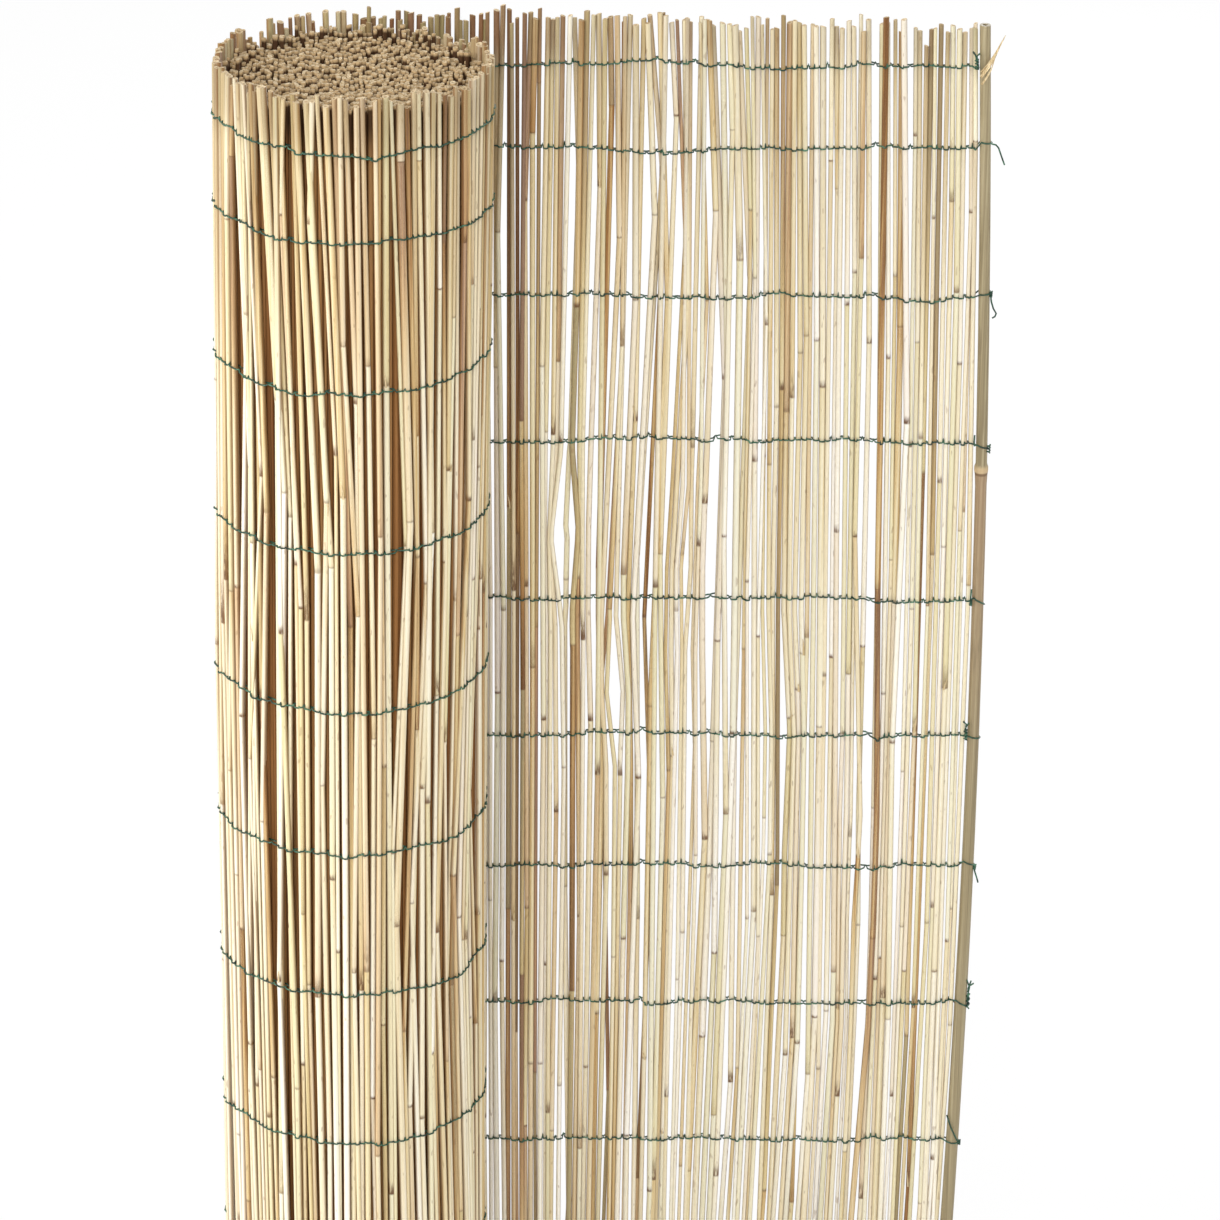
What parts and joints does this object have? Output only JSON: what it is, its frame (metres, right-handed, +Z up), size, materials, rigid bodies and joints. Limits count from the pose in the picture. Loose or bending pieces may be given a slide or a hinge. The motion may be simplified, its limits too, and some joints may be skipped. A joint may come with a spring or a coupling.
{
  "type": "reed screening",
  "caption": "Mat of peeled reeds stitched with rows of green wire, partly rolled up and standing on end, with an open flap that finishes in a thin bamboo cane.",
  "frame": {"origin": "middle of the whole footprint, on the plane of the reeds' lower ends", "axes": "+Z up along the reeds, +X along the open flap towards its end cane, +Y from the roll's front to the flap at its back"},
  "size_m": [0.5006, 0.1826, 1],
  "materials": {
    "peeled_reed": "peeled dry reed, straw to ivory, satin",
    "bamboo_cane": "dry bamboo, olive tan, satin",
    "coated_wire": "green plastic coat on thin wire"
  },
  "bodies": {
    "root": {"reed_mat": "peeled_reed", "end_cane": "bamboo_cane", "stitch_wire_01": "coated_wire", "stitch_wire_02": "coated_wire", "stitch_wire_03": "coated_wire", "stitch_wire_04": "coated_wire", "stitch_wire_05": "coated_wire", "stitch_wire_06": "coated_wire", "stitch_wire_07": "coated_wire", "stitch_wire_08": "coated_wire", "stitch_wire_09": "coated_wire", "stitch_wire_10": "coated_wire", "stitch_wire_11": "coated_wire"}
  },
  "joints": []
}
